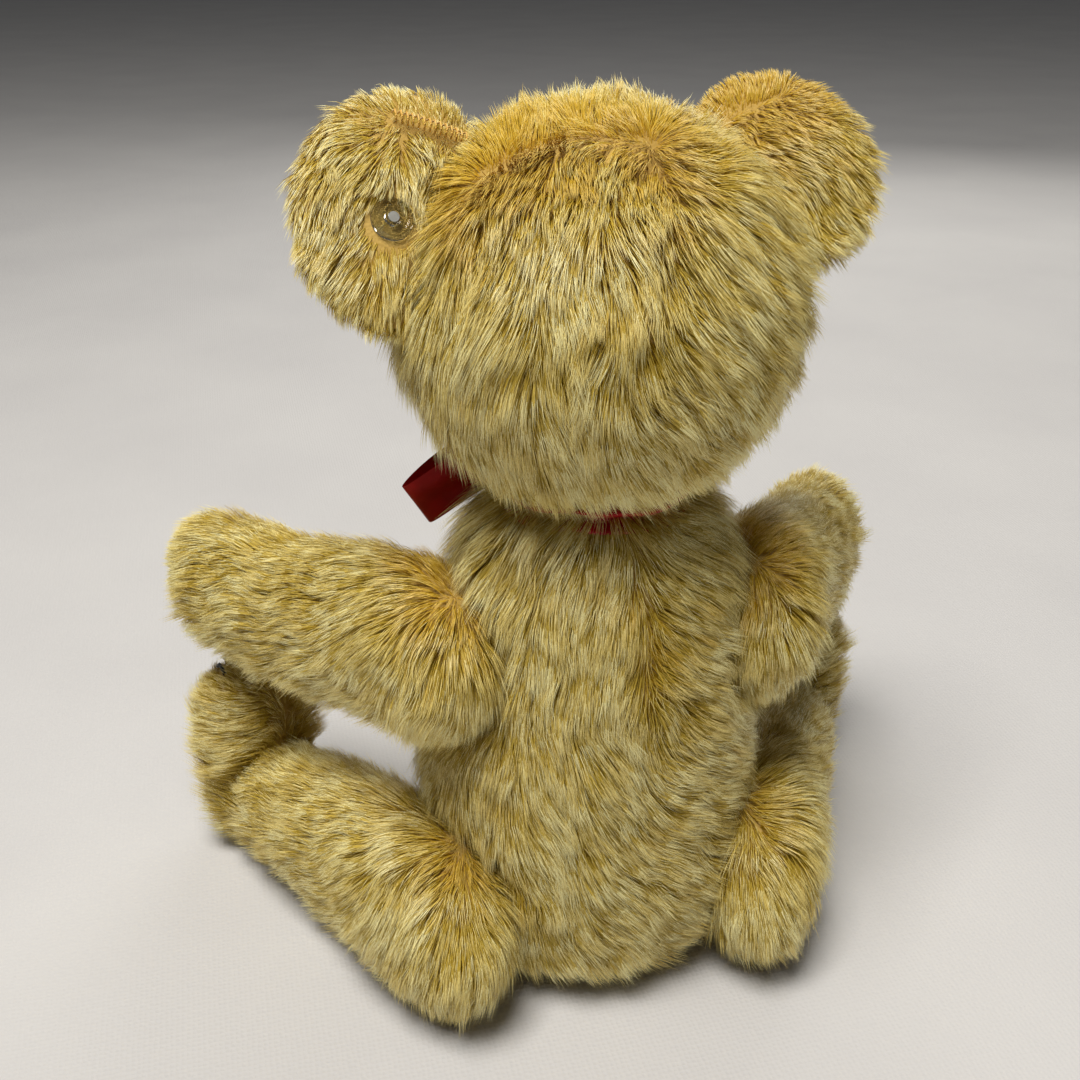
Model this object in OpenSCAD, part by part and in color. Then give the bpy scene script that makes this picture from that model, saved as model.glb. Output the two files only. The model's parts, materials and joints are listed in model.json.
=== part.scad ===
// Jointed plush bear, sitting. Its face looks along -Y, its own left side is +X and +Z is up.
// The origin is the middle of the flat seat on the underside of the body.
// Five disc joints (neck, shoulders, hips) hold the head and limbs to the body. Millimetres.

/* [Body] */
// Width of the body across the belly, pressed pile included
body_w = 88; // [84:1:92]
// Depth of the body from belly to back
body_d = 76; // [72:1:80]
// Height of the neck joint above the seat
neck_z = 148; // [144:1:152]

/* [Head] */
// Width of the head across the cheeks
head_w = 92; // [88:1:98]
// Height of the head from nape to crown
head_h = 90; // [86:1:94]
// How far the muzzle reaches forward of the neck axis
muzzle_y = 72; // [66:1:78]
// Turn of the head toward its own left at rest, in degrees
head_turn = 0; // [-6:1:6]

/* [Ears] */
// Length of the left ear along the head
left_ear_l = 58; // [52:1:62]
// Length of the right ear, which is sewn on in a tighter curve
right_ear_l = 49; // [45:1:56]
// Width of an ear, the part hidden in the head included
ear_w = 48; // [44:1:52]
// Thickness of an ear
ear_t = 8; // [7:0.5:10]
// How far the rim of an ear curls forward
ear_cup = 3; // [0:1:5]

/* [Arms] */
// Height of the shoulder joints above the seat
shoulder_z = 106; // [103:1:109]
// Distance of a shoulder joint to the side of the middle
shoulder_x = 31; // [30:0.5:32]
// Length of an arm from joint to paw tip
arm_l = 96; // [90:1:102]
// Angle by which the arms open away from straight ahead
arm_splay = 35; // [30:1:38]
// Angle by which the left arm slopes down at rest
left_arm_drop = 7; // [4:1:9]
// Angle by which the right arm slopes down at rest
right_arm_drop = 12; // [8:1:13]

/* [Legs] */
// Height of the hip joints above the seat
hip_z = 28; // [27:1:30]
// Distance of a hip joint to the side of the middle
hip_x = 32; // [31:0.5:33]
// Length of a leg from joint to sole
leg_l = 100; // [94:1:106]
// Angle by which the legs open away from straight ahead
leg_splay = 29; // [25:1:32]
// Height of a foot from heel to toe
foot_h = 65; // [60:1:67]

/* [Joint hardware] */
// Radius of the shoulder discs
shoulder_disc = 13; // [11:0.5:14]
// Radius of the neck and hip discs
large_disc = 15; // [13:0.5:16]
// Thickness of a fibreboard disc
disc_t = 2.6; // [2:0.1:3]
// Diameter of a cotter pin
pin_d = 2; // [1.8:0.1:2.4]

/* [Ribbon] */
// Width of the satin ribbon
ribbon_w = 13; // [11:1:14]

/* [Hidden] */
$fn = 32;

FAR = 200;              // side of a block that cuts a form along a plane
COVER_T = 4;            // plush cover: woven backing with its pile pressed down
FLAT_T = 1.6;           // cover where a joint disc squeezes it
FACE_GAP = 0.2;         // half of the gap between the two covers of a joint
PLAY = 0.1;             // gap between neighbouring pieces of one joint
WASHER_T = 0.8;
WASHER_R = 7;
PIN_PLAY = 0.05;        // radial clearance of a cotter pin in its holes
STUFFING_GAP = 0.3;     // stuffing stays this far inside its cover
POCKET_GAP = 0.8;       // room round a disc in the stuffing
POCKET_D = 13;          // depth of the pocket that holds a disc, washer and pin end
SEAT_T = 3;             // cover under the flat seat
PAD_T = 2;              // felt pads of the paws and soles
PAD_SEAT_T = 3;         // cover under a felt pad
TRIM_GAP = 0.1;         // what is sewn on stays this far off the cover
STITCH_R = 0.6;         // thick thread of mouth and claws, and how far its middle is off the cover
STITCH_LIFT = STITCH_R + 0.7;
COLLAR_R = 26;          // ribbon round the neck, and how far its lower edge is below the neck joint
COLLAR_LOW = 7;
EYE_R = 4.2;
EAR_TURN = [61, 49, 64];        // an ear leans forward, its tip outward and up
LEFT_EAR = [head_w * 0.48, -2, head_h * 0.28];      // middle of an ear, from the middle of the head
RIGHT_EAR = [head_w * 0.48, -5, head_h * 0.32];
EYE_X = 16;
EYE_Z = 13;

ARM_ROOM = 24;          // room in the body round a shoulder joint, and round a hip joint
LEG_ROOM = 28.5;
ARM_LOW = 20;           // the arms swing down this far before they reach the belly
SHOULDER_Y = 2;         // how far the joints are behind the middle of the body
HIP_Y = 10;
SHOULDER_TURN = 14;     // angle of a shoulder joint's axis behind straight sideways
HIP_TURN = 14;

SNAP_R = 4.8;           // stud head and ring of the ear snap
SNAP_SHAFT_R = 1.2;
SNAP_HOLE_R = 1.3;
SNAP_X = 6;             // snap below the middle of the ear along the head, and towards its tip
SNAP_Z = 2.5;
SNAP_SEAT = ear_t / 2 - 0.9;    // its seats are sunk this far from the middle of the ear

HOLE_R = pin_d / 2 + PIN_PLAY;
DISC_X = FACE_GAP + FLAT_T + PLAY;
WASHER_X = DISC_X + disc_t + PLAY;
PIN_X = WASHER_X + WASHER_T + PLAY;

OUTER = [24, 12];       // facets round and along the outside of the body and head
LIMB = [20, 10];        // the same on a limb
INNER = [16, 8];        // the same on hidden inner faces

// Stations of each form: height along its axis, centre x, centre y, half width x, half width y.
BODY = [
    [-6, 0, -3, body_w / 2, body_d / 2],
    [neck_z * 0.38, 0, -3, body_w / 2, body_d / 2],
    [neck_z * 0.76, 0, 2, body_w * 0.41, body_d * 0.42],
    [neck_z + 10, 0, 0, body_w * 0.35, body_d * 0.37]
];
BODY_ENDS = [38, 44];

HEAD = [
    [-44, 0, 0, head_w / 2, head_h / 2],
    [2, 0, 0, head_w / 2, head_h / 2],
    [muzzle_y * 0.42, 0, 1, head_w * 0.39, head_h * 0.37],
    [muzzle_y * 0.66, 0, -6, head_w * 0.24, head_h * 0.25],
    [muzzle_y, 0, -8, head_w * 0.19, head_h * 0.19]
];
HEAD_ENDS = [44, 13];
HEAD_Z = neck_z + head_h / 2 - 3;

// Limbs lean away from the plane of their joint by these slopes.
ARM_SLOPE = tan(arm_splay - SHOULDER_TURN);
LEG_SLOPE = tan(leg_splay - HIP_TURN);

ARM = [
    [-22, 13, 0, 15, 21],
    [4, 14, 0, 15.5, 22],
    [arm_l * 0.45, 14 + arm_l * 0.42 * ARM_SLOPE, -3.5, 15, 20],
    [arm_l * 0.76, 13.5 + arm_l * 0.76 * ARM_SLOPE, -2, 14, 18.5],
    [arm_l, 12.5 + arm_l * ARM_SLOPE, 3, 13.5, 17]
];
ARM_ENDS = [21, 15];

LEG = [
    [-27, 15, 0, 16, 24],
    [3, 16, 0, 17, 26],
    [leg_l * 0.5, 16 + leg_l * 0.47 * LEG_SLOPE, -3, 16, 21],
    [leg_l * 0.8, 15 + leg_l * 0.8 * LEG_SLOPE, -9, 13.5, 15.5],
    [leg_l, 15 + leg_l * LEG_SLOPE, -9, 12, 14]
];
LEG_ENDS = [26, 12];

FOOT_X = 15 + leg_l * 0.88 * LEG_SLOPE;     // middle of the foot, seen from the hip joint
FOOT_Y = 13 - leg_l;
FOOT = [
    [-27, FOOT_X, FOOT_Y + 1, 14, 13],
    [0, FOOT_X, FOOT_Y, 15.5, 14],
    [(foot_h - 27) * 0.55, FOOT_X, FOOT_Y - 1, 15, 12.5],
    [foot_h - 27, FOOT_X, FOOT_Y - 1, 13.5, 11]
];
FOOT_ENDS = [14, 13];
SOLE_Y = 3 - leg_l;     // plane of the sole under its felt pad

NOSE = [[0, 0, 0, 9, 6.5], [6, 0, 0, 8, 5]];

PAW_START = 0.68;       // where the flat under the paw pad begins, as a share of the arm
PAW_TILT = 9;           // angle of the paw pad to the joint face

function spline(st, u) =
    let (last = len(st) - 1, i = min(floor(u), last - 1), t = u - i,
         a = st[max(i - 1, 0)], b = st[i], c = st[i + 1], d = st[min(i + 2, last)])
    0.5 * (2 * b + (c - a) * t + (2 * a - 5 * b + 4 * c - d) * t * t + (3 * b - a - 3 * c + d) * t * t * t);

function rounding(distance, reach) =
    distance >= reach ? 1 : sqrt(max(0, 1 - pow(1 - distance / reach, 2)));

// Closed skin over rings of points, with a pole at each end
module skin(rings, first_pole, last_pole) {
    around = len(rings[0]);
    top = (len(rings) - 1) * around;
    count = top + around;
    sides = [
        for (k = [0:len(rings) - 2], j = [0:around - 1])
            let (p = k * around + j, q = k * around + (j + 1) % around)
            each [[p, p + around, q], [q, p + around, q + around]]
    ];
    ends = [
        for (j = [0:around - 1])
            let (q = (j + 1) % around)
            each [[count, j, q], [count + 1, top + q, top + j]]
    ];
    polyhedron([for (r = rings) each r, first_pole, last_pole], concat(sides, ends));
}

// One stuffed form along Z: rings through the stations, round at both ends
module form(st, ends, grow, facets) {
    around = facets[0];
    along = facets[1];
    last = len(st) - 1;
    low = st[0][0];
    high = st[last][0];
    rings = [
        for (k = [1:along - 1])
            let (p = spline(st, last * (1 - cos(180 * k / along)) / 2),
                 cap = rounding(p[0] - low, ends[0]) * rounding(high - p[0], ends[1]),
                 z = p[0] + grow * (2 * (p[0] - low) / (high - low) - 1))
            [for (j = [0:around - 1])
                let (a = 360 * j / around)
                [p[1] + (p[3] + grow) * cap * cos(a), p[2] + (p[4] + grow) * cap * sin(a), z]]
    ];
    skin(rings, [st[0][1], st[0][2], low - grow], [st[last][1], st[last][2], high + grow]);
}

// A limb's forms lie along -Y, with +X pointing away from the body.
module along_limb() {
    rotate([90, 0, 0]) children();
}

// Half space beyond a plane at x, seen along +X
module beyond_x(x) {
    translate([x, -FAR / 2, -FAR / 2]) cube(FAR);
}

/* ---------- joint hardware: axis along +X, the two covers meet at x = 0 ---------- */

// Round plate with a pin hole, its near face at x
module plate_at(x, r, t) {
    translate([x, 0, 0]) rotate([0, 90, 0]) difference() {
        cylinder(r = r, h = t);
        translate([0, 0, -1]) cylinder(r = HOLE_R, h = t + 2);
    }
}

module disc(r) {
    color("peru") plate_at(DISC_X, r, disc_t);
}

module washer() {
    color("silver") plate_at(WASHER_X, WASHER_R, WASHER_T);
}

module pin_hole() {
    translate([-POCKET_D, 0, 0]) rotate([0, 90, 0]) cylinder(r = HOLE_R, h = 2 * POCKET_D);
}

// Room in the stuffing for a disc, its washer and the end of the pin
module pocket(x_in, r) {
    translate([x_in, 0, 0]) rotate([0, 90, 0]) cylinder(r = r + POCKET_GAP, h = POCKET_D - x_in);
}

// Cotter pin: its eye is inside the limb, its two legs are rolled over inside the body
module cotter_pin() {
    wire = 0.5;
    curl = 2;
    leg_z = 0.45;
    straight = 0.8;
    past = 1;
    leg_x = -PIN_X - straight;
    eye_wire = 0.8;
    eye = 2.4;
    color("silver") {
        translate([-PIN_X - 1.4, 0, 0]) rotate([0, 90, 0]) cylinder(d = pin_d, h = 2 * PIN_X + 1.4 + past);
        translate([PIN_X + eye + eye_wire, 0, 0]) rotate([90, 0, 0])
            rotate_extrude() translate([eye, 0]) circle(eye_wire);
        for (side = [-1, 1]) {
            translate([leg_x, 0, side * (leg_z + curl)]) rotate([90, 0, 0]) rotate([0, 0, 90])
                rotate_extrude(angle = 180) translate([curl, 0]) circle(wire);
            translate([leg_x, 0, side * (leg_z + 2 * curl)]) rotate([0, 90, 0])
                cylinder(r = wire, h = straight);
        }
    }
}

/* ---------- where each joint is ---------- */

module at_neck() {
    translate([0, 0, neck_z]) rotate([0, -90, 0]) children();
}

module at_shoulder() {
    translate([shoulder_x, SHOULDER_Y, shoulder_z]) rotate([0, 0, SHOULDER_TURN]) children();
}

module at_hip() {
    translate([hip_x, HIP_Y, hip_z]) rotate([0, 0, HIP_TURN]) children();
}

// The left one, or its mirror image on the right
module on_side(side) {
    if (side > 0) children();
    else mirror([1, 0, 0]) children();
}

// Turned half round its joint, so that a joint's outer pieces become its inner ones
module inward() {
    rotate([0, 0, 180]) children();
}

module arm_frame(side) {
    on_side(side) at_shoulder() rotate([side > 0 ? left_arm_drop : right_arm_drop, 0, 0]) children();
}

module leg_frame(side) {
    on_side(side) at_hip() children();
}

module head_frame() {
    rotate([0, 0, head_turn]) translate([0, 0, HEAD_Z]) children();
}

/* ---------- body ---------- */

// Room beside the body for a limb: round behind its joint, and open in front and on the other side of
// an edge that leaves the round part slope degrees below straight ahead
module limb_room(x_in, r, slope) {
    round_part = [for (a = [90:-8:slope - 90]) r * [cos(a), sin(a)]];
    edge = [r * sin(slope) - FAR * cos(slope), -r * cos(slope) - FAR * sin(slope)];
    translate([-x_in, 0, 0]) rotate([90, 0, 90]) linear_extrude(FAR)
        polygon([[0, FAR], each round_part, edge, [-2 * FAR, edge[1]], [-2 * FAR, FAR]]);
}

// The body form with room for the neck and limbs: x_in inside each joint face, wall beside each limb
module body_form(grow, x_in, wall, seat_z, facets) {
    difference() {
        form(BODY, BODY_ENDS, grow, facets);
        translate([-FAR / 2, -FAR / 2, seat_z - FAR]) cube(FAR);
        at_neck() beyond_x(-x_in);
        for (side = [-1, 1]) on_side(side) {
            at_shoulder() limb_room(x_in, ARM_ROOM + wall, ARM_LOW);
            at_hip() mirror([0, 0, 1]) limb_room(x_in, LEG_ROOM + wall, 0);
        }
    }
}

// Pockets inside the body for its five discs, starting x_in inside each joint face
module each_body_joint(x_in, neck_and_hip, shoulder) {
    at_neck() inward() pocket(x_in, neck_and_hip);
    for (side = [-1, 1]) on_side(side) {
        at_shoulder() inward() pocket(x_in, shoulder);
        at_hip() inward() pocket(x_in, neck_and_hip);
    }
}

module body_cover() {
    color("khaki") difference() {
        body_form(0, FACE_GAP, 0, 0, OUTER);
        body_form(-COVER_T, FACE_GAP + FLAT_T, COVER_T, SEAT_T, INNER);
        each_body_joint(FACE_GAP + FLAT_T, large_disc, shoulder_disc);
        at_neck() pin_hole();
        for (side = [-1, 1]) on_side(side) {
            at_shoulder() pin_hole();
            at_hip() pin_hole();
        }
    }
}

module body_stuffing() {
    color("beige") difference() {
        body_form(-COVER_T - STUFFING_GAP, DISC_X, COVER_T + STUFFING_GAP, SEAT_T + STUFFING_GAP, INNER);
        each_body_joint(FACE_GAP, large_disc, shoulder_disc);
    }
}

/* ---------- head ---------- */

module head_form(grow, x_in, facets) {
    difference() {
        translate([0, 0, HEAD_Z]) along_limb() form(HEAD, HEAD_ENDS, grow, facets);
        at_neck() inward() beyond_x(-x_in);
    }
}

module head_cover() {
    color("khaki") rotate([0, 0, head_turn]) difference() {
        head_form(0, FACE_GAP, OUTER);
        head_form(-COVER_T, FACE_GAP + FLAT_T, INNER);
        at_neck() pocket(FACE_GAP + FLAT_T, large_disc);
        at_neck() pin_hole();
    }
}

module head_stuffing() {
    color("beige") rotate([0, 0, head_turn]) difference() {
        head_form(-COVER_T - STUFFING_GAP, DISC_X, INNER);
        at_neck() pocket(0, large_disc);
    }
}

// The head's outside, for seating what is sewn onto it
module head_seat(gap) {
    along_limb() form(HEAD, HEAD_ENDS, gap, OUTER);
}

module on_head() {
    head_frame() difference() {
        children();
        head_seat(TRIM_GAP);
    }
}

// An ear's own frame: its front faces -Y and its tip points up
module ear_frame(place) {
    translate(place) rotate(EAR_TURN) children();
}

module ear_blank(ear_l) {
    around = LIMB[0];
    along = LIMB[1];
    rings = [
        for (k = [1:along - 1])
            let (lat = 180 * k / along - 90, r = cos(lat), y = ear_t / 2 * sin(lat) - ear_cup * r * r)
            [for (j = [0:around - 1])
                let (a = -360 * j / around)
                [ear_l / 2 * r * cos(a), y, ear_w / 2 * r * sin(a)]]
    ];
    skin(rings, [0, -ear_t / 2, 0], [0, ear_t / 2, 0]);
}

// The left ear's snap, its axis along +Z towards the front of the ear
module at_snap() {
    ear_frame(LEFT_EAR) translate([SNAP_X, 0, SNAP_Z]) rotate([90, 0, 0]) children();
}

module ear_seats() {
    at_snap() {
        translate([0, 0, -FAR / 2]) cylinder(r = SNAP_HOLE_R, h = FAR);
        for (flip = [0, 180]) rotate([flip, 0, 0])
            translate([0, 0, SNAP_SEAT]) cylinder(r = SNAP_R + 0.4, h = FAR);
    }
}

module ear(side) {
    color("khaki") head_frame() on_side(side) difference() {
        if (side > 0) ear_frame(LEFT_EAR) ear_blank(left_ear_l);
        else ear_frame(RIGHT_EAR) ear_blank(right_ear_l);
        head_seat(TRIM_GAP);
        if (side > 0) ear_seats();
    }
}

module left_ear() { ear(1); }
module right_ear() { ear(-1); }

// Plain round stud through the left ear, its head in front
module ear_snap_stud() {
    color("gainsboro") head_frame() at_snap() {
        translate([0, 0, SNAP_SEAT + PLAY]) rotate_extrude() polygon([
            [0, 0], [SNAP_R, 0], [SNAP_R, 0.6],
            each [for (a = [15:15:75]) [SNAP_R * cos(a), 0.6 + sin(a)]],
            [0, 1.6]]);
        translate([0, 0, -SNAP_SEAT - PLAY - 1.9]) cylinder(r = SNAP_SHAFT_R, h = 2 * SNAP_SEAT + 2.4);
    }
}

// Clear ring pressed onto the stud behind the ear, with a raised rim
module ear_snap_ring() {
    rim_t = 1.8;
    floor_t = 0.8;
    color("white", 0.5) head_frame() at_snap() rotate([180, 0, 0])
        translate([0, 0, SNAP_SEAT + PLAY]) rotate_extrude() polygon([
            [SNAP_HOLE_R, 0], [SNAP_R, 0], [SNAP_R, floor_t], [SNAP_R - 0.5, rim_t],
            [SNAP_R - 1.3, rim_t], [SNAP_R - 1.6, floor_t],
            [SNAP_HOLE_R + 0.6, floor_t], [SNAP_HOLE_R + 0.5, rim_t - 0.2], [SNAP_HOLE_R, rim_t - 0.2]]);
}

module eye(side) {
    color("saddlebrown") head_frame() on_side(side) difference() {
        translate([EYE_X, -muzzle_y * 0.6, EYE_Z]) sphere(r = EYE_R);
        head_seat(TRIM_GAP);
    }
}

module left_eye() { eye(1); }
module right_eye() { eye(-1); }

module nose() {
    color("black") on_head() translate([0, -muzzle_y + 3, -4]) rotate([-35, 0, 0])
        along_limb() form(NOSE, [4, 4], 0, INNER);
}

// Place on the rounded top end of a form, at a spot beside its middle
function on_tip(st, ends, spot) =
    let (t = st[len(st) - 1])
    [t[1] + spot[0], t[2] + spot[1], t[0] + STITCH_LIFT - ends[1]
        + ends[1] * sqrt(max(0, 1 - pow(spot[0] / t[3], 2) - pow(spot[1] / t[4], 2)))];

// One long stitch over the rounded top end of a form, from one spot to another
module stitch(st, ends, from, to) {
    steps = 3;
    up = [0, 0, 1];
    places = [for (i = [0:steps]) on_tip(st, ends, from + (to - from) * i / steps)];
    rings = [
        for (i = [0:steps])
            let (run = places[min(i + 1, steps)] - places[max(i - 1, 0)],
                 ahead = run / norm(run),
                 u = cross(ahead, up) / norm(cross(ahead, up)),
                 v = cross(ahead, u))
            [for (a = [0:45:315]) places[i] + STITCH_R * (u * cos(a) + v * sin(a))]
    ];
    skin(rings, places[0], places[steps]);
}

module mouth_stitching() {
    color("black") head_frame() along_limb() {
        stitch(HEAD, HEAD_ENDS, [0, -4], [0, -9]);
        for (side = [-1, 1]) stitch(HEAD, HEAD_ENDS, [side * 1.2, -10], [side * 8, -7.5]);
    }
}

/* ---------- arms ---------- */

// Plane under the felt pad of the paw, on the inner side of the arm
module paw_plane() {
    translate([arm_l * PAW_START * ARM_SLOPE + 0.4, -arm_l * PAW_START, 0])
        rotate([0, 0, PAW_TILT + arm_splay - SHOULDER_TURN]) children();
}

module arm_form(grow, x_in, paw_in, facets) {
    difference() {
        along_limb() form(ARM, ARM_ENDS, grow, facets);
        inward() beyond_x(-x_in);
        paw_plane() inward() beyond_x(-paw_in);
    }
}

module arm_cover(side) {
    color("khaki") arm_frame(side) difference() {
        arm_form(0, FACE_GAP, 0, LIMB);
        arm_form(-COVER_T, FACE_GAP + FLAT_T, PAD_SEAT_T, INNER);
        pocket(FACE_GAP + FLAT_T, shoulder_disc);
        pin_hole();
    }
}

module arm_stuffing(side) {
    color("beige") arm_frame(side) difference() {
        arm_form(-COVER_T - STUFFING_GAP, DISC_X, PAD_SEAT_T + STUFFING_GAP, INNER);
        pocket(0, shoulder_disc);
    }
}

module paw_pad(side) {
    color("burlywood") arm_frame(side) intersection() {
        along_limb() form(ARM, ARM_ENDS, -0.4, LIMB);
        paw_plane() translate([-PAD_T - TRIM_GAP, -FAR / 2, -FAR / 2]) cube([PAD_T, FAR, FAR]);
    }
}

module paw_claws(side) {
    color("black") arm_frame(side) along_limb()
        for (row = [-9, -3, 3, 9]) stitch(ARM, ARM_ENDS, [-4, row], [4, row]);
}

module left_arm_cover() { arm_cover(1); }
module left_arm_stuffing() { arm_stuffing(1); }
module left_paw_pad() { paw_pad(1); }
module left_paw_claws() { paw_claws(1); }
module left_arm_disc() { arm_frame(1) disc(shoulder_disc); }
module left_arm_washer() { arm_frame(1) washer(); }
module left_arm_pin() { arm_frame(1) cotter_pin(); }
module left_shoulder_body_disc() { arm_frame(1) inward() disc(shoulder_disc); }
module left_shoulder_body_washer() { arm_frame(1) inward() washer(); }

module right_arm_cover() { arm_cover(-1); }
module right_arm_stuffing() { arm_stuffing(-1); }
module right_paw_pad() { paw_pad(-1); }
module right_paw_claws() { paw_claws(-1); }
module right_arm_disc() { arm_frame(-1) disc(shoulder_disc); }
module right_arm_washer() { arm_frame(-1) washer(); }
module right_arm_pin() { arm_frame(-1) cotter_pin(); }
module right_shoulder_body_disc() { arm_frame(-1) inward() disc(shoulder_disc); }
module right_shoulder_body_washer() { arm_frame(-1) inward() washer(); }

/* ---------- legs ---------- */

module leg_form(grow, x_in, sole_in, facets) {
    difference() {
        union() {
            along_limb() form(LEG, LEG_ENDS, grow, facets);
            form(FOOT, FOOT_ENDS, grow, facets);
        }
        inward() beyond_x(-x_in);
        translate([-FAR / 2, SOLE_Y + sole_in - FAR, -FAR / 2]) cube(FAR);
    }
}

module leg_cover(side) {
    color("khaki") leg_frame(side) difference() {
        leg_form(0, FACE_GAP, 0, LIMB);
        leg_form(-COVER_T, FACE_GAP + FLAT_T, PAD_SEAT_T, INNER);
        pocket(FACE_GAP + FLAT_T, large_disc);
        pin_hole();
    }
}

module leg_stuffing(side) {
    color("beige") leg_frame(side) difference() {
        leg_form(-COVER_T - STUFFING_GAP, DISC_X, PAD_SEAT_T + STUFFING_GAP, INNER);
        pocket(0, large_disc);
    }
}

module foot_pad(side) {
    color("burlywood") leg_frame(side) intersection() {
        form(FOOT, FOOT_ENDS, -0.4, LIMB);
        translate([-FAR / 2, SOLE_Y - PAD_T - TRIM_GAP, -FAR / 2]) cube([FAR, PAD_T, FAR]);
    }
}

module foot_claws(side) {
    color("black") leg_frame(side)
        for (row = [-8, -2.7, 2.7, 8]) stitch(FOOT, FOOT_ENDS, [row, -6], [row, 3]);
}

module left_leg_cover() { leg_cover(1); }
module left_leg_stuffing() { leg_stuffing(1); }
module left_foot_pad() { foot_pad(1); }
module left_foot_claws() { foot_claws(1); }
module left_leg_disc() { leg_frame(1) disc(large_disc); }
module left_leg_washer() { leg_frame(1) washer(); }
module left_leg_pin() { leg_frame(1) cotter_pin(); }
module left_hip_body_disc() { leg_frame(1) inward() disc(large_disc); }
module left_hip_body_washer() { leg_frame(1) inward() washer(); }

module right_leg_cover() { leg_cover(-1); }
module right_leg_stuffing() { leg_stuffing(-1); }
module right_foot_pad() { foot_pad(-1); }
module right_foot_claws() { foot_claws(-1); }
module right_leg_disc() { leg_frame(-1) disc(large_disc); }
module right_leg_washer() { leg_frame(-1) washer(); }
module right_leg_pin() { leg_frame(-1) cotter_pin(); }
module right_hip_body_disc() { leg_frame(-1) inward() disc(large_disc); }
module right_hip_body_washer() { leg_frame(-1) inward() washer(); }

/* ---------- neck joint ---------- */

module neck_head_disc() { at_neck() disc(large_disc); }
module neck_head_washer() { at_neck() washer(); }
module neck_pin() { at_neck() cotter_pin(); }
module neck_body_disc() { at_neck() inward() disc(large_disc); }
module neck_body_washer() { at_neck() inward() washer(); }

/* ---------- ribbon ---------- */

// Satin ribbon round the neck, tied in a bow under the chin
module neck_ribbon() {
    collar_t = 0.8;
    collar_h = ribbon_w * 0.8;
    low = neck_z - COLLAR_LOW;
    bow_y = -COLLAR_R - 1;
    color("crimson") {
        translate([0, 0, low]) rotate_extrude()
            polygon([[COLLAR_R, 0], [COLLAR_R + collar_t, 0],
                     [COLLAR_R + collar_t, collar_h], [COLLAR_R, collar_h]]);
        translate([-5, bow_y - 5, low]) cube([10, 6.5, 9]);
        for (side = [-1, 1]) on_side(side) {
            translate([0, bow_y, low + 5]) rotate([90, 18, -6]) linear_extrude(5)
                polygon([[2, 3], [14, 7], [38, 9], [46, 5], [47, -4], [40, -8], [14, -6], [2, -3]]);
            translate([0, bow_y - 1.5, low + 2]) rotate([84, 0, -8]) linear_extrude(1.2)
                polygon([[1, 0], [5, 0], [5 + ribbon_w, -30], [ribbon_w - 3, -28], [6, -34]]);
        }
    }
}

body_cover();
body_stuffing();
neck_ribbon();
neck_body_disc();
neck_body_washer();
left_shoulder_body_disc();
left_shoulder_body_washer();
right_shoulder_body_disc();
right_shoulder_body_washer();
left_hip_body_disc();
left_hip_body_washer();
right_hip_body_disc();
right_hip_body_washer();
head_cover();
head_stuffing();
left_ear();
right_ear();
left_eye();
right_eye();
nose();
mouth_stitching();
ear_snap_stud();
ear_snap_ring();
neck_head_disc();
neck_head_washer();
neck_pin();
left_arm_cover();
left_arm_stuffing();
left_paw_pad();
left_paw_claws();
left_arm_disc();
left_arm_washer();
left_arm_pin();
right_arm_cover();
right_arm_stuffing();
right_paw_pad();
right_paw_claws();
right_arm_disc();
right_arm_washer();
right_arm_pin();
left_leg_cover();
left_leg_stuffing();
left_foot_pad();
left_foot_claws();
left_leg_disc();
left_leg_washer();
left_leg_pin();
right_leg_cover();
right_leg_stuffing();
right_foot_pad();
right_foot_claws();
right_leg_disc();
right_leg_washer();
right_leg_pin();
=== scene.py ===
"""A sitting, jointed mohair bear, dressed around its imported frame.

Covers are sewn cloth with a standing pile, made strand by strand. Paws and soles are felt, the face is
stitched thread and glass, and a satin ribbon is tied round the neck. Metres; the bear looks along -Y.
"""

import json
import math

import bmesh
import bpy
import numpy as np
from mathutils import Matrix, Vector
from mathutils.bvhtree import BVHTree
from mathutils.kdtree import KDTree


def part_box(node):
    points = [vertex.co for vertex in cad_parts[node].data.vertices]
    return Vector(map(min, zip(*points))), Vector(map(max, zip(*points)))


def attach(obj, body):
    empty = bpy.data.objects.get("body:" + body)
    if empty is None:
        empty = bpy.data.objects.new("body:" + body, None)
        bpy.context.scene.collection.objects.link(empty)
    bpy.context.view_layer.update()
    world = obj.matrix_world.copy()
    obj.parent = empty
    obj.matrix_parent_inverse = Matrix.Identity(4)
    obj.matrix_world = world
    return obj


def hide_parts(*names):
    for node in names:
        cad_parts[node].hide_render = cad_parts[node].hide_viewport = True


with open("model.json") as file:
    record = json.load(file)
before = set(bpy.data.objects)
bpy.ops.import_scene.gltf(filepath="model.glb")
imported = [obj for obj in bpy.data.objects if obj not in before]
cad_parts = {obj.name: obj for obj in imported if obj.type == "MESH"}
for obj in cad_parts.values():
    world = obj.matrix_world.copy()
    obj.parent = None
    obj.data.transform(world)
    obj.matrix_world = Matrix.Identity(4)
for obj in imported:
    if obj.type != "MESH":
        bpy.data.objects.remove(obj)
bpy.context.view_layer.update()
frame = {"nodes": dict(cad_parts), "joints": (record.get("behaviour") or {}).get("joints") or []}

MM = 0.001
RNG = np.random.default_rng(7)
JOINTS = {j["name"]: j for j in frame["joints"]}


def centre(node):
    low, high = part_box(node)
    return (low + high) / 2


# ---------- camera, light and floor ----------

VIEW_AZIMUTH, VIEW_ELEVATION = math.radians(163.5), math.radians(29.4)
VIEW_DISTANCE = 0.334
VIEW_CENTRE = Vector((0, 0, 0.112))
VIEW_AIM = Vector((0.0114, -0.0106, 0.1244))
VIEW_ANGLE = math.radians(46)
BEAR_MIDDLE = (0, 0, 0.12)


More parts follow.
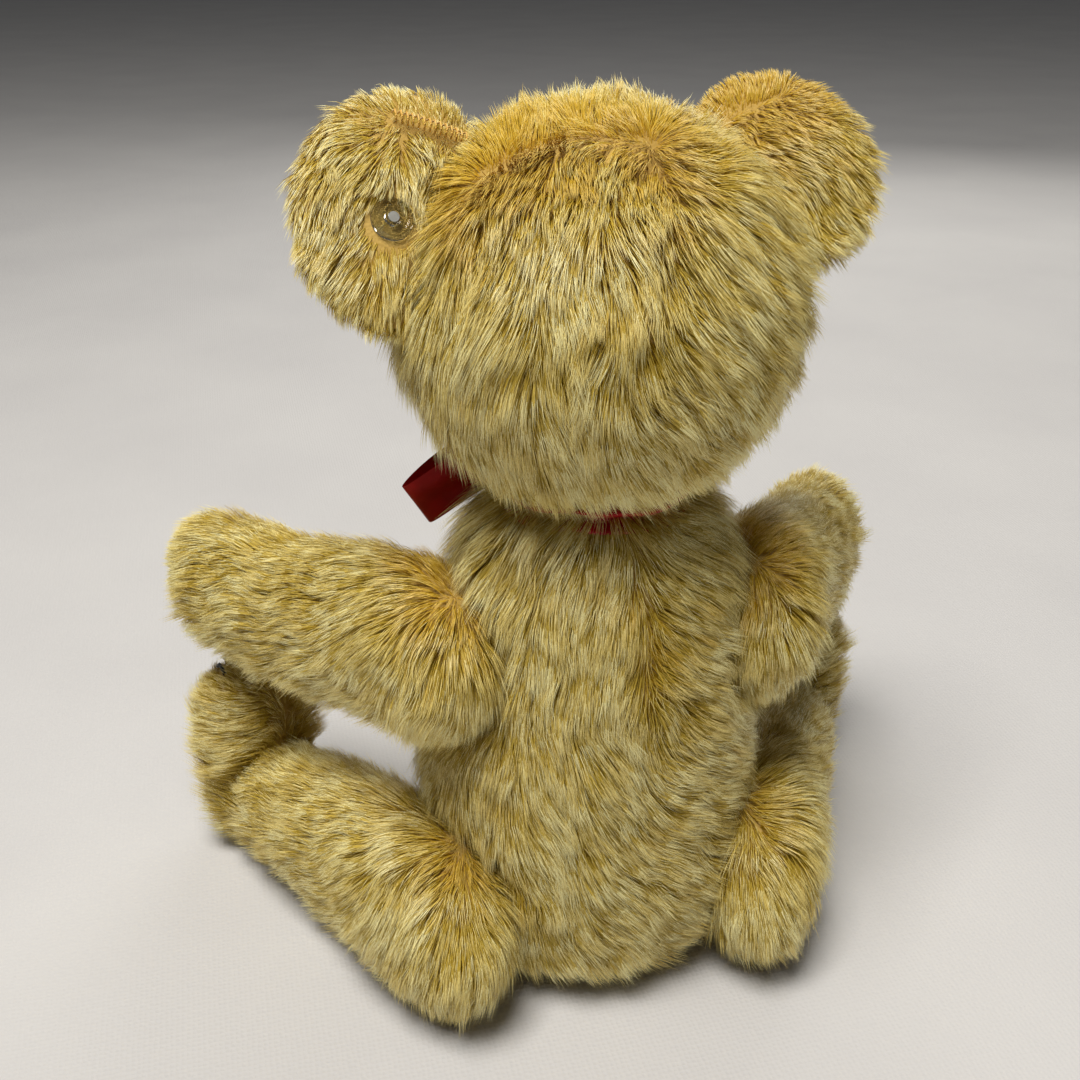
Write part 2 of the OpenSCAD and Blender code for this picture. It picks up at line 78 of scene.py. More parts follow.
def camera():
    data = bpy.data.cameras.new("camera")
    data.sensor_fit = "HORIZONTAL"
    data.angle = VIEW_ANGLE
    data.clip_start = 0.01
    cam = bpy.data.objects.new("camera", data)
    bpy.context.scene.collection.objects.link(cam)
    ahead = Vector((math.sin(VIEW_AZIMUTH) * math.cos(VIEW_ELEVATION),
                    -math.cos(VIEW_AZIMUTH) * math.cos(VIEW_ELEVATION), math.sin(VIEW_ELEVATION)))
    cam.location = VIEW_CENTRE + ahead * VIEW_DISTANCE
    cam.rotation_euler = (VIEW_AIM - cam.location).to_track_quat("-Z", "Y").to_euler()
    bpy.context.scene.camera = cam


def area_light(name, place, target, size, power, colour):
    data = bpy.data.lights.new(name, "AREA")
    data.size = size
    data.energy = power
    data.color = colour
    light = bpy.data.objects.new(name, data)
    light.location = place
    light.rotation_euler = (Vector(target) - Vector(place)).to_track_quat("-Z", "Y").to_euler()
    bpy.context.scene.collection.objects.link(light)


def studio():
    area_light("key", place=(0.35, 0.4, 1.62), target=BEAR_MIDDLE, size=0.65, power=31,
               colour=(1.0, 0.975, 0.94))
    area_light("front_fill", place=(-0.5, -0.9, 0.7), target=BEAR_MIDDLE, size=0.9, power=4,
               colour=(1.0, 0.98, 0.94))
    world = bpy.data.worlds.new("studio")
    world.use_nodes = True
    background = world.node_tree.nodes["Background"]
    background.inputs["Color"].default_value = (0.9, 0.92, 0.95, 1)
    background.inputs["Strength"].default_value = 0.08
    bpy.context.scene.world = world
    bpy.context.scene.view_settings.view_transform = "Standard"


def floor():
    mesh = bpy.data.meshes.new("floor")
    side = 4.0
    corners = [(-side, -side, 0), (side, -side, 0), (side, side, 0), (-side, side, 0)]
    mesh.from_pydata(corners, [], [(0, 1, 2, 3)])
    obj = bpy.data.objects.new("floor", mesh)
    bpy.context.scene.collection.objects.link(obj)
    mesh.materials.append(floor_felt())


# ---------- materials ----------

def material(name, colour, roughness, **settings):
    """A Principled material with constant values set on the shader's own sockets."""
    mat = bpy.data.materials.new(name)
    mat.use_nodes = True
    tree = mat.node_tree
    shader = tree.nodes["Principled BSDF"]
    shader.inputs["Base Color"].default_value = (*colour, 1)
    shader.inputs["Roughness"].default_value = roughness
    for key, value in settings.items():
        shader.inputs[key.replace("_", " ")].default_value = value
    return mat, tree, shader


def node(tree, kind, inputs=(), **settings):
    made = tree.nodes.new(kind)
    for key, value in settings.items():
        setattr(made, key, value)
    for key, value in dict(inputs).items():
        if hasattr(value, "is_linked"):
            tree.links.new(value, made.inputs[key])
        else:
            made.inputs[key].default_value = value
    return made


def ramp(tree, factor, stops):
    made = node(tree, "ShaderNodeValToRGB", {"Fac": factor})
    elements = made.color_ramp.elements
    while len(elements) < len(stops):
        elements.new(0.5)
    for element, (position, colour) in zip(elements, stops):
        element.position = position
        element.color = (*colour, 1)
    return made.outputs["Color"]


def position_of(tree):
    return node(tree, "ShaderNodeTexCoord").outputs["Object"]


def bump(tree, shader, height, strength, distance):
    made = node(tree, "ShaderNodeBump", {"Height": height, "Strength": strength, "Distance": distance})
    tree.links.new(made.outputs["Normal"], shader.inputs["Normal"])


def backing_cloth():
    """Woven amber backing of the mohair, as it shows where the pile parts."""
    mat, tree, shader = material("backing", (0.48, 0.31, 0.07), 0.85)
    place = position_of(tree)
    weave = node(tree, "ShaderNodeTexVoronoi", {"Vector": place, "Scale": 1400}).outputs["Distance"]
    blotch = node(tree, "ShaderNodeTexNoise", {"Vector": place, "Scale": 60, "Detail": 3}).outputs["Fac"]
    colour = ramp(tree, blotch, [(0.3, (0.40, 0.24, 0.04)), (0.7, (0.56, 0.37, 0.09))])
    tree.links.new(colour, shader.inputs["Base Color"])
    bump(tree, shader, weave, 0.5, 0.0003)
    return mat


def floor_felt():
    mat, tree, shader = material("floor_felt", (0.62, 0.6, 0.57), 0.95)
    place = position_of(tree)
    dots = node(tree, "ShaderNodeTexVoronoi", {"Vector": place, "Scale": 700, "Randomness": 0.35})
    clouds = node(tree, "ShaderNodeTexNoise", {"Vector": place, "Scale": 9, "Detail": 4}).outputs["Fac"]
    tree.links.new(ramp(tree, clouds, [(0.3, (0.60, 0.585, 0.57)), (0.7, (0.64, 0.625, 0.605))]),
                   shader.inputs["Base Color"])
    bump(tree, shader, dots.outputs["Distance"], 0.35, 0.0006)
    return mat


def felt():
    """Pressed wool of the paws and soles, with fibres lying every way."""
    mat, tree, shader = material("felt", (0.62, 0.47, 0.28), 0.95, Sheen_Weight=0.5, Sheen_Roughness=0.6)
    place = position_of(tree)
    fibres = node(tree, "ShaderNodeTexNoise",
                  {"Vector": place, "Scale": 1500, "Detail": 6, "Distortion": 2.5}).outputs["Fac"]
    wear = node(tree, "ShaderNodeTexNoise", {"Vector": place, "Scale": 110, "Detail": 4}).outputs["Fac"]
    tree.links.new(ramp(tree, wear, [(0.3, (0.52, 0.38, 0.21)), (0.7, (0.70, 0.55, 0.34))]),
                   shader.inputs["Base Color"])
    bump(tree, shader, fibres, 0.6, 0.0004)
    return mat


def thread(name, dark, light, sheen=0.3):
    """Cotton thread, its plies showing as fine slanting bands."""
    mat, tree, shader = material(name, light, 0.55, Sheen_Weight=sheen)
    place = position_of(tree)
    plies = node(tree, "ShaderNodeTexWave", {"Vector": place, "Scale": 900, "Distortion": 1.5},
                 bands_direction="DIAGONAL").outputs["Fac"]
    tree.links.new(ramp(tree, plies, [(0.2, dark), (0.9, light)]), shader.inputs["Base Color"])
    bump(tree, shader, plies, 0.5, 0.0002)
    return mat


def satin():
    """Deep red satin with fine floats across its width."""
    mat, tree, shader = material("red_satin", (0.36, 0.001, 0.003), 0.42, Specular_IOR_Level=0.3)
    place = position_of(tree)
    floats = node(tree, "ShaderNodeTexWave", {"Vector": place, "Scale": 1100, "Distortion": 0.6},
                  bands_direction="Z").outputs["Fac"]
    shade = node(tree, "ShaderNodeTexNoise", {"Vector": place, "Scale": 180, "Detail": 3}).outputs["Fac"]
    tree.links.new(ramp(tree, shade, [(0.25, (0.27, 0.0008, 0.002)), (0.75, (0.46, 0.002, 0.005))]),
                   shader.inputs["Base Color"])
    bump(tree, shader, floats, 0.25, 0.0001)
    return mat


def glass(name, dark, light):
    """Coloured eye glass under a clear, polished surface."""
    mat, tree, shader = material(name, light, 0.12, Coat_Weight=1.0, Coat_Roughness=0.03)
    streaks = node(tree, "ShaderNodeTexNoise", {"Vector": position_of(tree), "Scale": 900, "Detail": 3})
    tree.links.new(ramp(tree, streaks.outputs["Fac"], [(0.3, dark), (0.7, light)]),
                   shader.inputs["Base Color"])
    return mat


def hard(name, dark, light, roughness, scale, **settings):
    """Moulded, pressed or drawn hardware, marbled and finely pitted."""
    mat, tree, shader = material(name, light, roughness, **settings)
    marks = node(tree, "ShaderNodeTexNoise", {"Vector": position_of(tree), "Scale": scale, "Detail": 5})
    tree.links.new(ramp(tree, marks.outputs["Fac"], [(0.3, dark), (0.7, light)]),
                   shader.inputs["Base Color"])
    bump(tree, shader, marks.outputs["Fac"], 0.15, 0.0002)
    return mat


def finish_cad(mat, *names):
    for name in names:
        mesh = frame["nodes"][name].data
        mesh.materials.clear()
        mesh.materials.append(mat)


def link(name, mesh, mats):
    for mat in mats:
        mesh.materials.append(mat)
    obj = bpy.data.objects.new(name, mesh)
    bpy.context.scene.collection.objects.link(obj)
    return obj


# ---------- cloth covers ----------

COVER_VOXEL, EAR_VOXEL, PAD_VOXEL = 2.0 * MM, 1.2 * MM, 0.7 * MM
PIN_HOLE = 1.3 * MM


def outer_surface(name):
    """The outside of a hollow CAD cover as a closed bmesh: without its pin holes and inner faces."""
    shell = bmesh.new()
    shell.from_mesh(frame["nodes"][name].data)
    bmesh.ops.remove_doubles(shell, verts=shell.verts, dist=1e-7)
    in_hole = []
    for face in shell.faces:
        for joint in JOINTS.values():
            axis = Vector(joint["axis"]).normalized()
            away = face.calc_center_median() - Vector(joint["pos_m"])
            if (away - axis * away.dot(axis)).length < PIN_HOLE and abs(face.normal.dot(axis)) < 0.5:
                in_hole.append(face)
                break
    bmesh.ops.delete(shell, geom=in_hole, context="FACES")
    keep = largest_island(shell)
    bmesh.ops.delete(shell, geom=[f for f in shell.faces if f not in keep], context="FACES")
    bmesh.ops.holes_fill(shell, edges=[e for e in shell.edges if e.is_boundary])
    return shell


def largest_island(shell):
    best, best_size, seen = set(), 0, set()
    for start in shell.faces:
        if start in seen:
            continue
        island, front = {start}, [start]
        while front:
            for edge in front.pop().edges:
                for face in edge.link_faces:
                    if face not in island:
                        island.add(face)
                        front.append(face)
        seen |= island
        corners = np.array([v.co for f in island for v in f.verts])
        size = np.linalg.norm(corners.max(0) - corners.min(0))
        if size > best_size:
            best, best_size = island, size
    return best


def remeshed(name, source, voxel, rounds, mats):
    """An even, smooth mesh over a closed bmesh."""
    mesh = bpy.data.meshes.new(name)
    source.to_mesh(mesh)
    source.free()
    obj = link(name, mesh, [])
    remesh = obj.modifiers.new("remesh", "REMESH")
    remesh.mode = "VOXEL"
    remesh.voxel_size = voxel
    smooth = obj.modifiers.new("smooth", "SMOOTH")
    smooth.factor = 0.5
    smooth.iterations = rounds
    made = bpy.data.meshes.new_from_object(obj.evaluated_get(bpy.context.evaluated_depsgraph_get()))
    obj.modifiers.clear()
    obj.data = made
    made.name = name
    made.materials.clear()
    for mat in mats:
        made.materials.append(mat)
    made.polygons.foreach_set("use_smooth", [True] * len(made.polygons))
    return obj


def covers(backing):
    """A smooth cloth cover for each sewn piece of the bear."""
    made = {}
    for part in ("body", "head", "left_arm", "right_arm", "left_leg", "right_leg"):
        made[part] = remeshed(part + "_backing", outer_surface(part + "_cover"),
                              voxel=COVER_VOXEL, rounds=6, mats=[backing])
        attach(made[part], part)
        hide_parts(part + "_cover", part + "_stuffing")
    for part in ("left_ear", "right_ear"):
        solid = bmesh.new()
        solid.from_mesh(frame["nodes"][part].data)
        made[part] = remeshed(part + "_backing", solid, voxel=EAR_VOXEL, rounds=3, mats=[backing])
        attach(made[part], "head")
        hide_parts(part)
    return made


# ---------- sewn-on pieces ----------

RIBBON_W = 13 * MM
NECK_R = 24 * MM                # of the collar, inside the pile of the neck
LOOP_DEPTH = 4.5 * MM           # half the opening of a bow loop, and the tie's own radius
EYE_R = 4.2 * MM
EYE_ANGLES = [10, 20, 29, 32, 40, 50, 60, 66, 70, 82, 95, 110]  # degrees from the pupil's middle
EYE_AROUND = 32
PUPIL_ROWS, IRIS_ROWS = 3, 7    # rows of faces inside these are pupil and iris, and the rest is rim
NOSE_PITCH = 0.62 * MM
NOSE_THREAD_R, PAD_THREAD_R, LADDER_THREAD_R = 0.42 * MM, 0.2 * MM, 0.24 * MM
PAD_STITCHES, LADDER_STITCHES = 56, 15
# Each stitch in millimetres: step across the edge or seam, rise above it, and lean along it.
PAD_STITCH = ((-1.9, 0.9, -1), (-1.0, 1.35, -0.4), (0.0, 1.0, 0.2), (0.7, -0.6, 1))
LADDER_STITCH = ((-1.4, 1.8, -0.6), (-0.6, 3.6, -0.2), (0.5, 3.6, 0.2), (1.4, 1.8, 0.6))
LADDER_ENDS = ((-1.5, -7, 17), (-17, -7, 11.5))     # from the middle of the left ear
THREAD_SIDES = 6


def swept(lines, radius):
    """Points and faces of round threads along lines of points, closed at both ends."""
    places, faces, sides = [], [], THREAD_SIDES
    turns = np.arange(sides) * 2 * math.pi / sides
    for line in lines:
        line = np.array(line, float)
        ahead = unit(np.gradient(line, axis=0))
        aside = unit(np.cross(ahead, (0.31, 0.17, 0.93)))
        above = np.cross(ahead, aside)
        first = len(places)
        for at, u, v in zip(line, aside, above):
            places += [at + radius * (u * math.cos(t) + v * math.sin(t)) for t in turns]
        for k in range(len(line) - 1):
            low, high = first + k * sides, first + (k + 1) * sides
            faces += [(low + j, low + (j + 1) % sides, high + (j + 1) % sides, high + j)
                      for j in range(sides)]
        faces += [tuple(first + j for j in reversed(range(sides))),
                  tuple(len(places) - sides + j for j in range(sides))]
    return places, faces


def threads(name, lines, radius, mat, body):
    places, faces = swept(lines, radius)
    mesh = bpy.data.meshes.new(name)
    mesh.from_pydata(places, [], faces)
    mesh.polygons.foreach_set("use_smooth", [True] * len(mesh.polygons))
    obj = link(name, mesh, [mat])
    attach(obj, body)
    return obj


def tree_of(node_name):
    mesh = frame["nodes"][node_name].data
    return BVHTree.FromPolygons([v.co for v in mesh.vertices], [list(p.vertices) for p in mesh.polygons])


def from_middle(node_name, *offset):
    """A place given in millimetres from the middle of a CAD node."""
    return np.array(centre(node_name)) + np.array(offset) * MM


def eye(side, mats):
    """Glass eye: a domed pupil in an amber iris, with a dark moulded rim."""
    low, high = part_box(side + "_eye")
    sign = 1 if side == "left" else -1
    outer = high[0] if sign > 0 else low[0]
    middle = Vector((outer - sign * EYE_R, low[1] + EYE_R, high[2] - EYE_R))
    outward = Vector((sign * 0.22, -1, 0.12)).normalized()
    turn = outward.to_track_quat("Z", "Y")
    around, dome, groove = EYE_AROUND, 0.06, 0.04
    places = [middle + outward * EYE_R * (1 + dome)]
    for angle in EYE_ANGLES:
        bulge = 1 + dome * math.cos(math.radians(min(angle, 90))) - (groove if 62 < angle < 72 else 0)
        for k in range(around):
            spin = 2 * math.pi * k / around
            a = math.radians(angle)
            spot = Vector((math.sin(a) * math.cos(spin), math.sin(a) * math.sin(spin), math.cos(a)))
            spot.rotate(turn)
            places.append(middle + spot * EYE_R * bulge)
    faces = [(0, 1 + k, 1 + (k + 1) % around) for k in range(around)]
    rows = len(EYE_ANGLES) - 1
    for row in range(rows):
        a, b = 1 + row * around, 1 + (row + 1) * around
        faces += [(a + k, b + k, b + (k + 1) % around, a + (k + 1) % around) for k in range(around)]
    faces.append(tuple(len(places) - 1 - k for k in range(around)))
    mesh = bpy.data.meshes.new(side + "_glass_eye")
    mesh.from_pydata(places, [], faces)
    obj = link(side + "_glass_eye", mesh, mats)
    glasses = [0 if row < PUPIL_ROWS else 1 if row < IRIS_ROWS else 2 for row in range(rows)]
    slots = [0] * around + [glass for glass in glasses for _ in range(around)] + [2]
    mesh.polygons.foreach_set("material_index", slots)
    mesh.polygons.foreach_set("use_smooth", [True] * len(mesh.polygons))
    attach(obj, "head")
    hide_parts(side + "_eye")


def nose_stitches(mat):
    """Satin stitches side by side down the nose, and one from the nose to the mouth."""
    low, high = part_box("nose")
    mouth_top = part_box("mouth_stitching")[1][2]

    def laid_on(tree, x, heights, rise):
        """A thread at one x over a surface, as it is seen from in front."""
        line = []
        for z in heights:
            hit, normal, _, _ = tree.ray_cast(Vector((x, low[1] - 0.02, z)), Vector((0, 1, 0)))
            if hit is not None:
                line.append(hit + normal * rise)
        return line

    front = tree_of("nose")
    heights = np.linspace(high[2] - 0.1 * MM, low[2] + 0.1 * MM, 14)
    across = np.arange(low[0] + 0.5 * MM, high[0] - 0.2 * MM, NOSE_PITCH)
    lines = [laid_on(front, x, heights, 0.25 * MM) for x in across]
    lines = [line for line in lines if len(line) > 2]
    heights = np.linspace(low[2] + 0.6 * MM, mouth_top - 0.3 * MM, 8)
    lines.append(laid_on(tree_of("head_cover"), (low[0] + high[0]) / 2, heights, 0.3 * MM))
    threads("nose_threads", lines, NOSE_THREAD_R, mat, "head")


def felt_pad(part, body, mat, cotton):
    """A felt paw or sole, whipped round its edge."""
    solid = bmesh.new()
    solid.from_mesh(frame["nodes"][part].data)
    pad = remeshed(part + "_felt", solid, voxel=PAD_VOXEL, rounds=4, mats=[mat])
    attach(pad, body)
    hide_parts(part)
    places, _, _ = surface_arrays(pad)
    middle = places.mean(0)
    u, v, out = np.linalg.svd(places - middle, full_matrices=False)[2]
    out = out * np.sign((middle - np.array(centre(body + "_cover"))) @ out)
    flat = (places - middle) @ np.stack([u, v]).T
    turns, reach = np.arctan2(flat[:, 1], flat[:, 0]), np.hypot(flat[:, 0], flat[:, 1])
    lines = []
    for turn in np.linspace(-math.pi, math.pi, PAD_STITCHES, endpoint=False):
        near = np.abs((turns - turn + math.pi) % (2 * math.pi) - math.pi) < 0.12
        edge = reach[near].max()
        along = np.array([-math.sin(turn), math.cos(turn)]) * 0.5 * MM
        line = []
        for step, rise, lean in PAD_STITCH:
            spot = np.array([math.cos(turn), math.sin(turn)]) * (edge + step * MM) + along * lean
            line.append(middle + spot[0] * u + spot[1] * v + out * rise * MM)
        lines.append(line)
    threads(part + "_stitches", lines, PAD_THREAD_R, cotton, body)


def strip(path, across, gathered, slant=0.0):
    """Rows of points of a length of ribbon: where it is gathered (0 to 1) it folds along its length."""
    path = np.array(path, float)
    ahead = unit(np.gradient(path, axis=0))
    across = unit(np.broadcast_to(across, path.shape) - (ahead * across).sum(1, keepdims=True) * ahead)
    above = np.cross(ahead, across)
    share = 1 - 0.5 * gathered[:, None, None]
    spread = np.linspace(-0.5, 0.5, 15)[None, :, None]
    depth = RIBBON_W * share / (3 * math.pi) * 2 * np.sqrt(1 / share - 1)
    along = np.linspace(0, 1, len(path))[:, None, None]
    return (path[:, None] + across[:, None] * spread * RIBBON_W * share
            + above[:, None] * depth * np.sin(3 * math.pi * (spread + 0.5) + 2 * along)
            + ahead[:, None] * spread * RIBBON_W * slant * along**3)


def ribbon(mat):
    """Satin ribbon: a collar crushed into the neck, a bow of two loops under the chin, and two tails."""
    _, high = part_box("neck_ribbon")
    neck = JOINTS["neck"]["pos_m"]
    knot = Vector((0, -28 * MM, neck[2] - 3 * MM))
    front = knot[1] - 1 * MM
    round_neck = np.linspace(0, 2 * math.pi, 97)
    reach = NECK_R + 0.5 * MM * np.sin(round_neck * 7) + 0.3 * MM * np.sin(round_neck * 11 + 1)
    collar = np.stack([reach * np.sin(round_neck), -reach * np.cos(round_neck),
                       knot[2] + 0.6 * MM + 0.8 * MM * np.sin(round_neck * 5)], 1)
    strips = [strip(collar, (0, 0, 1), np.full(len(collar), 0.9))]
    t = np.linspace(0, 1, 49)
    pinched = 1 - np.sin(math.pi * t) ** 0.5
    for sign in (1, -1):
        reach = 1.5 * MM + (high[0] - 5 * MM) * (1 - np.cos(2 * math.pi * t)) / 2
        loop = np.stack([sign * reach, front - LOOP_DEPTH * np.sin(2 * math.pi * t) + 0.05 * reach,
                         knot[2] + 6 * MM * np.sin(math.pi * reach / high[0]) - 0.38 * reach], 1)
        strips.append(strip(loop, (sign * 0.6, 0, 1), pinched))
        tail = np.stack([sign * (1 + 17 * t) * MM, np.full(len(t), -0.2), knot[2] - (2 + 33 * t) * MM], 1)
        for spot in tail:
            hit = trees["body"].ray_cast(Vector(spot), Vector((0, 1, 0)))[0]
            spot[1] = min(hit[1] - 7.5 * MM, front)
        tail[:, 1] += 0.8 * MM * np.sin(7 * t)
        gathered = 1 - np.minimum(1, 2.2 * t) ** 0.5
        strips.append(strip(tail, (sign, 0, 0.3), gathered, slant=sign * 0.5))
    turn = np.linspace(0, 2 * math.pi, 25)
    tie = np.stack([0 * turn, front + LOOP_DEPTH * np.cos(turn), knot[2] + LOOP_DEPTH * np.sin(turn)], 1)
    strips.append(strip(tie, (1, 0, 0), np.full(len(turn), 0.8)))

    places, faces = [], []
    for rows in strips:
        first, (count, wide) = len(places), rows.shape[:2]
        places += list(rows.reshape(-1, 3))
        faces += [(first + i * wide + j, first + i * wide + j + 1,
                   first + (i + 1) * wide + j + 1, first + (i + 1) * wide + j)
                  for i in range(count - 1) for j in range(wide - 1)]
    mesh = bpy.data.meshes.new("satin_ribbon")
    mesh.from_pydata(places, [], faces)
    mesh.polygons.foreach_set("use_smooth", [True] * len(mesh.polygons))
    obj = link("satin_ribbon", mesh, [mat])
    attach(obj, "body")
    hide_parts("neck_ribbon")


def ear_ladder(mat):
    """Ladder stitches that close the back of the left ear beside the head."""
    start, end = (Vector(from_middle("left_ear", *place)) for place in LADDER_ENDS)
    run = (end - start).normalized()
    lines = []
    for share in np.linspace(0, 1, LADDER_STITCHES):
        hit, normal, _, _ = trees["left_ear"].find_nearest(start.lerp(end, share))
        aside = run.cross(normal).normalized()
        lines.append([hit + (aside * step + normal * rise + run * lean) * MM
                      for step, rise, lean in LADDER_STITCH])
    threads("ear_ladder_stitches", lines, LADDER_THREAD_R, mat, "head")


# ---------- pile ----------

STRAND_STEPS = np.array([0.0, 0.26, 0.6, 1.0])      # shares of its length
STRAND_TAPER = np.array([0.9, 1.0, 0.75, 0])        # shares of its width at those steps
STRAND_W = 0.17 * MM
PILE_LENGTH, EAR_PILE_LENGTH, BODY_PILE_LENGTH = 11.5 * MM, 8.8 * MM, 12 * MM
PILE_LIFT, EAR_PILE_LIFT = (44, 3), (38, 10)        # degrees off the cloth at root and tip
DENSITY = 3.4e6                                     # strands to a square metre
TUFT_SIZE, LOCK_SIZE = 60, 9                        # strands that lean together
# How much tufts, locks and single strands differ: in degrees, shares of the length, and steps of tint.
SWAY_SPREAD, TILT_SPREAD = (6, 6, 7), (3, 3, 6)
LENGTH_SPREAD, TINT_SPREAD = (0.06, 0.08, 0.12), (0.3, 0.25, 0.25)
TUFT_GATHER, LOCK_GATHER = (0, 0.04, 0.12, 0.2), (0, 0.08, 0.22, 0.38)
ROOM_LIMIT = 15 * MM            # skins farther apart than this don't matter to each other
LEAST_ROOM = 0.9 * MM
FLOOR_GAP = 0.3 * MM
TINTS = 3


def pile_materials():
    """Root, middle and tip of a strand, each in warm, middle and pale tints; the tips are partly painted
    light.
    """
    tones = {
        "root": [(0.48, 0.27, 0.012), (0.38, 0.225, 0.012), (0.42, 0.265, 0.022)],
        "middle": [(0.61, 0.39, 0.035), (0.58, 0.405, 0.05), (0.68, 0.50, 0.095)],
        # tips: the fibre's pale straw, made paler still as painted light for light scattered through the
        # mohair
        "tip": [(0.78, 0.55, 0.11), (0.85, 0.69, 0.23), (0.97, 0.88, 0.43)],
    }
    lustre = {"root": 0.1, "middle": 0.25, "tip": 0.6}
    made = []
    for place, colours in tones.items():
        for tint, colour in zip(("warm", "mid", "pale"), colours):
            mat, _, _ = material(f"mohair_{place}_{tint}", colour, 0.38,
                                 Specular_IOR_Level=lustre[place])
            made.append(mat)
    return made


def unit(vectors):
    return vectors / np.maximum(np.linalg.norm(vectors, axis=-1, keepdims=True), 1e-12)


def noise(points, size, seed):
    """Smooth random field from -1 to 1 with features of that size."""
    draw = np.random.default_rng(seed)
    waves = unit(draw.normal(size=(7, 3))) * draw.uniform(0.6, 1.5, (7, 1)) * 2 * math.pi / size
    phases = draw.uniform(0, 2 * math.pi, 7)
    return np.sin(points @ waves.T + phases).sum(1) / 4


class Nap:
    """Which way the pile lies: combed along directions, and away from partings."""

    def __init__(self):
        self.combs, self.partings = [], []

    def comb(self, place, direction, reach):
        self.combs.append((np.array(place), np.array(direction, float), reach))
        return self

    def part(self, start, end, reach, strength=2.0, open_up=1.0):
        self.partings.append((np.array(start), np.array(end), reach, strength, open_up))
        return self

    def at(self, points):
        flow = np.zeros_like(points)
        for place, direction, reach in self.combs:
            near = np.exp(-((points - place) ** 2).sum(1) / reach**2) + 1e-6
            flow += near[:, None] * unit(direction)
        for away, reach, strength, _ in self._from_partings(points):
            far = np.linalg.norm(away, axis=1)
            flow += (strength * np.exp(-((far / reach) ** 2)))[:, None] * unit(away)
        return flow

    def _from_partings(self, points):
        for start, end, reach, strength, open_up in self.partings:
            run = end - start
            along = np.clip((points - start) @ run / max(run @ run, 1e-12), 0, 1)
            yield points - (start + along[:, None] * run), reach, strength, open_up

    def parted(self, points):
        """How far the pile opens up: 1 on a full parting, fading to 0 beside it."""
        share = np.zeros(len(points))
        for away, reach, _, open_up in self._from_partings(points):
            fade = np.exp(-((np.linalg.norm(away, axis=1) / (0.5 * reach)) ** 2))
            share = np.maximum(share, open_up * fade)
        return share


def combed(node_name, combs, partings=()):
    """A nap over a CAD node, with places and reaches in millimetres from its middle.

    A comb is a place, a direction and a reach; a parting is two ends, a reach and how strong and open it is.
    """
    nap = Nap()
    for place, direction, reach in combs:
        nap.comb(from_middle(node_name, *place), direction, reach * MM)
    for start, end, reach, *force in partings:
        nap.part(from_middle(node_name, *start), from_middle(node_name, *end), reach * MM, *force)
    return nap


def surface_arrays(obj):
    mesh = obj.data
    mesh.calc_loop_triangles()
    places = np.zeros(len(mesh.vertices) * 3)
    mesh.vertices.foreach_get("co", places)
    normals = np.zeros(len(mesh.vertices) * 3)
    mesh.vertices.foreach_get("normal", normals)
    corners = np.zeros(len(mesh.loop_triangles) * 3, int)
    mesh.loop_triangles.foreach_get("vertices", corners)
    return places.reshape(-1, 3), normals.reshape(-1, 3), corners.reshape(-1, 3)


def room_above(part, places):
    """How far each vertex of a skin is from the skins that move against it."""
    room = np.full(len(places), 1.0)
    for other, tree in trees.items():
        if other == part or {other, part} <= {"head", "left_ear", "right_ear"}:
            continue
        low, high = skin_boxes[other]
        near = np.all((places > low - ROOM_LIMIT) & (places < high + ROOM_LIMIT), axis=1)
        for i in np.nonzero(near)[0]:
            hit, normal, _, distance = tree.find_nearest(Vector(places[i]), ROOM_LIMIT)
            if hit is not None:
                inside = (Vector(places[i]) - hit).dot(normal) < 0
                room[i] = min(room[i], 0 if inside else distance)
    return room


def scatter(part, bald):
    """Random roots over a skin: places, normals and room above them."""
    places, normals, corners = surface_arrays(skins[part])
    room = room_above(part, places)
    a, b, c = (places[corners[:, k]] for k in range(3))
    areas = np.linalg.norm(np.cross(b - a, c - a), axis=1) / 2
    count = int(areas.sum() * DENSITY)
    chosen = RNG.choice(len(corners), count, p=areas / areas.sum())
    u, v = RNG.random(count), RNG.random(count)
    fold = u + v > 1
    u[fold], v[fold] = 1 - u[fold], 1 - v[fold]
    shares = np.stack([1 - u - v, u, v], 1)

    def blend(values):
        return (values[corners[chosen]] * shares.reshape(shares.shape + (1,) * (values.ndim - 1))).sum(1)

    roots, ups, rooms = blend(places), unit(blend(normals)), blend(room)
    keep = (rooms > LEAST_ROOM) & ~bald(roots)
    faces_floor = ups[:, 2] < -0.6
    rooms[faces_floor] = np.minimum(rooms[faces_floor], 0.5 * MM + 0.5 * roots[faces_floor, 2])
    return roots[keep], ups[keep], rooms[keep]


def nearest(points, centres):
    tree = KDTree(len(centres))
    for i, place in enumerate(centres):
        tree.insert(place, i)
    tree.balance()
    return np.array([tree.find(place)[1] for place in points])


def nowhere(roots):
    return np.zeros(len(roots), bool)


def full(roots):
    return np.ones(len(roots))


